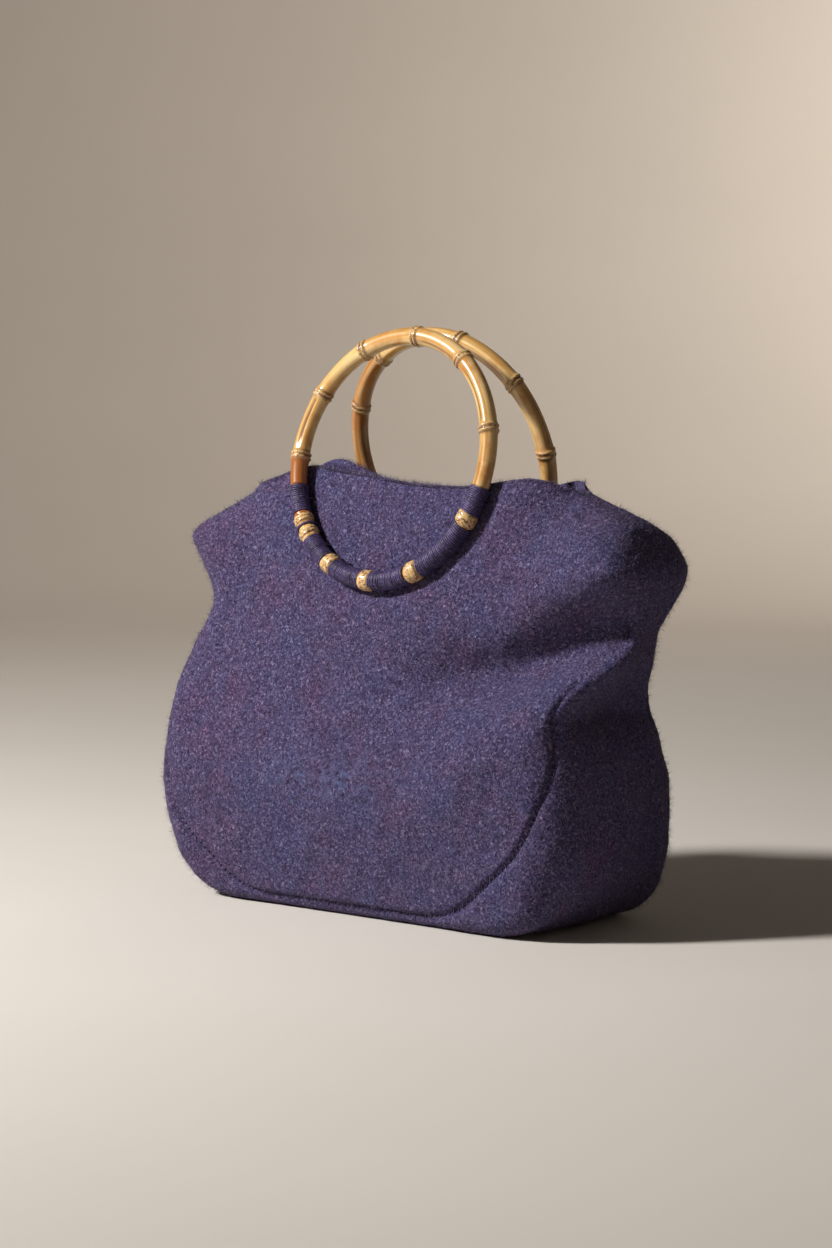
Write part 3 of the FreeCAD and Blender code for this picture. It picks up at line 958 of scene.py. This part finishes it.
def cane_surface(nodes, wraps, grooves, seed):
    """The cane's radius and its material's attributes, by its angles round the ring and round itself."""
    source = np.random.default_rng(seed)
    angle = np.linspace(0, 360, CANE_STEPS, endpoint=False)[:, None]
    around = np.linspace(0, 2 * math.pi, CANE_SPOKES, endpoint=False)[None, :]
    radius = np.full((CANE_STEPS, CANE_SPOKES), CANE_R)
    node_mark, joint_mark, groove_painted_shade, amber = np.zeros((4, CANE_STEPS, CANE_SPOKES))
    wound = [edge for span in wraps for edge in span]
    for node in nodes:
        tilt, lift = source.uniform(-0.5, 0.5, 2), source.uniform(0.85, 1.15)
        bare = min(wound) < node < max(wound)
        shift = angle - node + tilt[0] * np.cos(around) + tilt[1] * np.sin(around)
        shift = (shift + 180) % 360 - 180
        wobble = 1 + 0.25 * np.sin(around * 3 + source.uniform(0, 6)) * lift
        if bare:
            width = BEAD_HALF * (0.62 if node in SMALL_NODES else 1.0)
            radius += (0.95 * np.sqrt(np.clip(1 - (shift / width) ** 2, 0, 1))
                       - 0.35 * np.exp(-((shift - 0.3) / 0.45) ** 2) * wobble)
            node_mark = np.maximum(node_mark, smooth(width, width * 0.8, np.abs(shift)))
        else:
            radius += 0.62 * lift * np.exp(-(shift / 2.2) ** 2)
            radius += 0.42 * wobble * (np.exp(-((shift - 1.25) / 0.55) ** 2)
                                       + np.exp(-((shift + 1.25) / 0.6) ** 2))
            radius -= 0.30 * np.exp(-(shift / 0.4) ** 2)
            node_mark = np.maximum(node_mark, np.exp(-(shift / 2.0) ** 4) * 0.85)
            patchy = 0.55 + 0.45 * np.sin(around * 2 + source.uniform(0, 6))
            lines = np.exp(-(shift / 0.65) ** 2) + 0.8 * np.exp(-((shift + 2.2) / 0.6) ** 2)
            joint_mark = np.maximum(joint_mark, patchy * lines)
    stretch = stretch_numbers(angle[:, 0], nodes)
    order = np.sort(nodes)
    low = order[stretch]
    high = np.append(order, order[0] + 360)[stretch + 1]
    along = ((angle[:, 0] - low) % 360 / (high - low))[:, None]
    radius -= 0.28 * np.sin(math.pi * np.clip(along, 0, 1))
    for start, end in wraps:
        under_yarn = smooth(start - 0.3, start + 0.5, angle) * smooth(end + 0.3, end - 0.5, angle)
        radius -= (CANE_R - WINDING_R + YARN_R) * under_yarn
    for index in range(len(nodes)):
        mine = (stretch == index)[:, None]
        place, strength, tone = grooves.get(index, (source.uniform(0, 6.28), 0.25, 0.0))
        gap = (around - place - 0.15 * np.sin(3 * along) + math.pi) % (2 * math.pi) - math.pi
        strength = mine * strength * smooth(0.02, 0.14, along)
        radius -= 0.95 * strength * np.exp(-(gap / 0.24) ** 2) * smooth(1.0, 0.7, along)
        # the dark colour along the groove is painted shade
        painted_shade = strength * np.exp(-(gap / 0.13) ** 2) * smooth(1.0, 0.6, along)
        groove_painted_shade = np.maximum(groove_painted_shade, painted_shade)
        amber = np.maximum(amber, mine * tone)
    return angle, around, radius, {"node": node_mark, "joint": joint_mark, "groove": groove_painted_shade,
                                   "amber": amber}


def make_cane(side, nodes, wraps, grooves, seed, material):
    angle, around, radius, marks = cane_surface(nodes, wraps, grooves, seed)
    around = np.broadcast_to(around, radius.shape)
    angles = np.broadcast_to(np.radians(angle), radius.shape)
    points = ring_place(side, angles.reshape(-1), (RING_R + radius * np.cos(around)).reshape(-1),
                        (radius * np.sin(around)).reshape(-1))
    faces = grid_faces(CANE_STEPS + 1, CANE_SPOKES, closed=True) % (CANE_STEPS * CANE_SPOKES)
    if side == "front":
        faces = faces[:, ::-1]
    obj = make_mesh(side + "_cane", points, faces, material)
    for name, values in marks.items():
        add_attribute(obj, name, values)
    add_attribute(obj, "run", angles * RING_R * MM)
    add_attribute(obj, "round_x", CANE_R * np.cos(around) * MM)
    add_attribute(obj, "round_y", CANE_R * np.sin(around) * MM)
    fix_to_handle(obj, side, side + "_ring")


def make_pin(side, material):
    """The pin through the cane's spliced ends, with slightly rounded tips, under the winding."""
    out = np.linspace(-PIN_HALF, PIN_HALF, 12)
    angle = np.full(len(out), math.radians(PIN_AT))
    centres = ring_place(side, angle, np.full(len(out), RING_R), out)
    radius = PIN_R * np.clip((PIN_HALF + 0.3 - np.abs(out)) / 0.6, 0.5, 1.0)
    beside = ring_place(side, angle + 0.01, np.full(len(out), RING_R), out) - centres
    points, faces = make_tube(centres, beside, radius[:, None, None], around=16)
    obj = make_mesh(side + "_pin", points, faces, material, crease=40)
    fix_to_handle(obj, side, side + "_ring_pin")


# ---- camera, light and stage ----
CAMERA_AT = (1.5108, -1.6836, 0.371)
CAMERA_TURN = (90 - 5.3, 0.0, 42.0)
LENS = 115.8
PALE_RADIUS, FAR_RADIUS = 0.3, 1.7
COVE_RADIUS, COVE_BEND, COVE_HEIGHT, COVE_SIDES = 3.7, 1.8, 4.2, 96


def add_camera():
    camera = bpy.data.cameras.new("camera")
    camera.lens = LENS
    camera.clip_end = 30
    obj = bpy.data.objects.new("camera", camera)
    obj.location = CAMERA_AT
    obj.rotation_euler = [math.radians(a) for a in CAMERA_TURN]
    bpy.context.scene.collection.objects.link(obj)
    bpy.context.scene.camera = obj


def add_area_light(name, place, target, size, power, colour):
    light = bpy.data.lights.new(name, "AREA")
    light.shape = "DISK"
    light.size = size
    light.energy = power
    light.color = colour
    obj = bpy.data.objects.new(name, light)
    obj.location = place
    obj.visible_camera = False
    obj.rotation_euler = (Vector(target) - Vector(place)).to_track_quat("-Z", "Y").to_euler()
    bpy.context.scene.collection.objects.link(obj)


def stage_material():
    """Pale paint round the bag, and warm grey further out and up the wall."""
    n = Nodes("studio_paint")
    from_middle = n.add("ShaderNodeVectorMath", operation="LENGTH")
    n.set(from_middle, Vector=n.place)
    far = n.span(from_middle.outputs["Value"], PALE_RADIUS, FAR_RADIUS)
    mottle = n.noise(2.5, 3.0, 0.5)
    pale = n.ramp(mottle, [(0.3, (0.60, 0.575, 0.54)), (0.7, (0.63, 0.605, 0.57))])
    warm = n.ramp(mottle, [(0.3, (0.45, 0.402, 0.352)), (0.7, (0.47, 0.42, 0.368))])
    n.set(n.shader, Base_Color=n.mix(far, pale, warm), Roughness=n.span(mottle, 0.3, 0.7, 0.95, 0.85),
          Specular_IOR_Level=0.1)
    return n.material


def add_stage():
    """A round floor that curves up into a wall: one smooth cove with the bag in its middle."""
    section = [(out, 0.0) for out in (0.0, 0.3, 0.6, 1.0, 1.5, COVE_RADIUS - COVE_BEND)]
    for turn in np.linspace(0, math.pi / 2, 24)[1:]:
        section.append((COVE_RADIUS - COVE_BEND + COVE_BEND * math.sin(turn),
                        COVE_BEND - COVE_BEND * math.cos(turn)))
    section.append((COVE_RADIUS, COVE_HEIGHT))
    around = np.arange(COVE_SIDES) * 2 * math.pi / COVE_SIDES
    rings = [[(out * math.cos(a) / MM, out * math.sin(a) / MM, up / MM) for a in around]
             for out, up in section[1:]]
    points = np.concatenate([np.array(rings).reshape(-1, 3), [[0.0, 0.0, 0.0]]])
    middle = len(points) - 1
    number = np.arange(COVE_SIDES)
    fan = np.stack([(number + 1) % COVE_SIDES, number, np.full(COVE_SIDES, middle)], axis=1)
    cove = make_mesh("studio_cove", points, [grid_faces(len(rings), COVE_SIDES, closed=True), fan],
                     stage_material())


def light_scene():
    world = bpy.data.worlds.new("studio")
    world.use_nodes = True
    sky = world.node_tree.nodes["Background"].inputs
    sky["Color"].default_value = (0.9, 0.93, 1.0, 1)
    sky["Strength"].default_value = 0.035
    bpy.context.scene.world = world
    bpy.context.scene.view_settings.view_transform = "Standard"
    add_area_light("key", (-0.95, -1.42, 1.35), (0, 0, 0.15), 0.30, 73.0, (1.0, 0.965, 0.92))
    add_area_light("backdrop_light", (-0.5, 2.7, 1.3), (-2.0, 2.9, 0.2), 0.5, 34.0,
                   (1.0, 0.955, 0.90))


# ---- build ----
add_camera()
light_scene()
add_stage()
FELT_LOOK = felt_material()
felts = {side: build_felt(side, FELT_LOOK) for side in ("front", "back")}

FIBRE_LOOK, YARN_LOOK, CANE_LOOK = fibre_material(), yarn_material(), cane_material()
RINGS = {"front": (FRONT_NODES, FRONT_WRAPS, FRONT_GROOVES),
         "back": (BACK_NODES, BACK_WRAPS, BACK_GROOVES)}
for index, (side, (nodes, wraps, grooves)) in enumerate(RINGS.items()):
    make_cane(side, nodes, wraps, grooves, 30 + index, CANE_LOOK)
    make_ties(side, wraps, YARN_LOOK)
    make_seam_stitches(side, felts[side], YARN_LOOK)
    for number, span in enumerate(wraps):
        make_winding(side + "_winding_" + str(number + 1), side, span, 40 + 10 * index + number,
                     YARN_LOOK)
    for number, part in enumerate(("panel", "gusset")):
        for coat in COATS:
            add_fuzz(side, felts[side], part, coat, 100 + 10 * index + number, FIBRE_LOOK)

PIN_LOOK = pin_material()
for side in RINGS:
    make_pin(side, PIN_LOOK)
BOARD_LOOK = board_material()
for slot in frame["nodes"]["base_board"].material_slots:
    slot.material = BOARD_LOOK
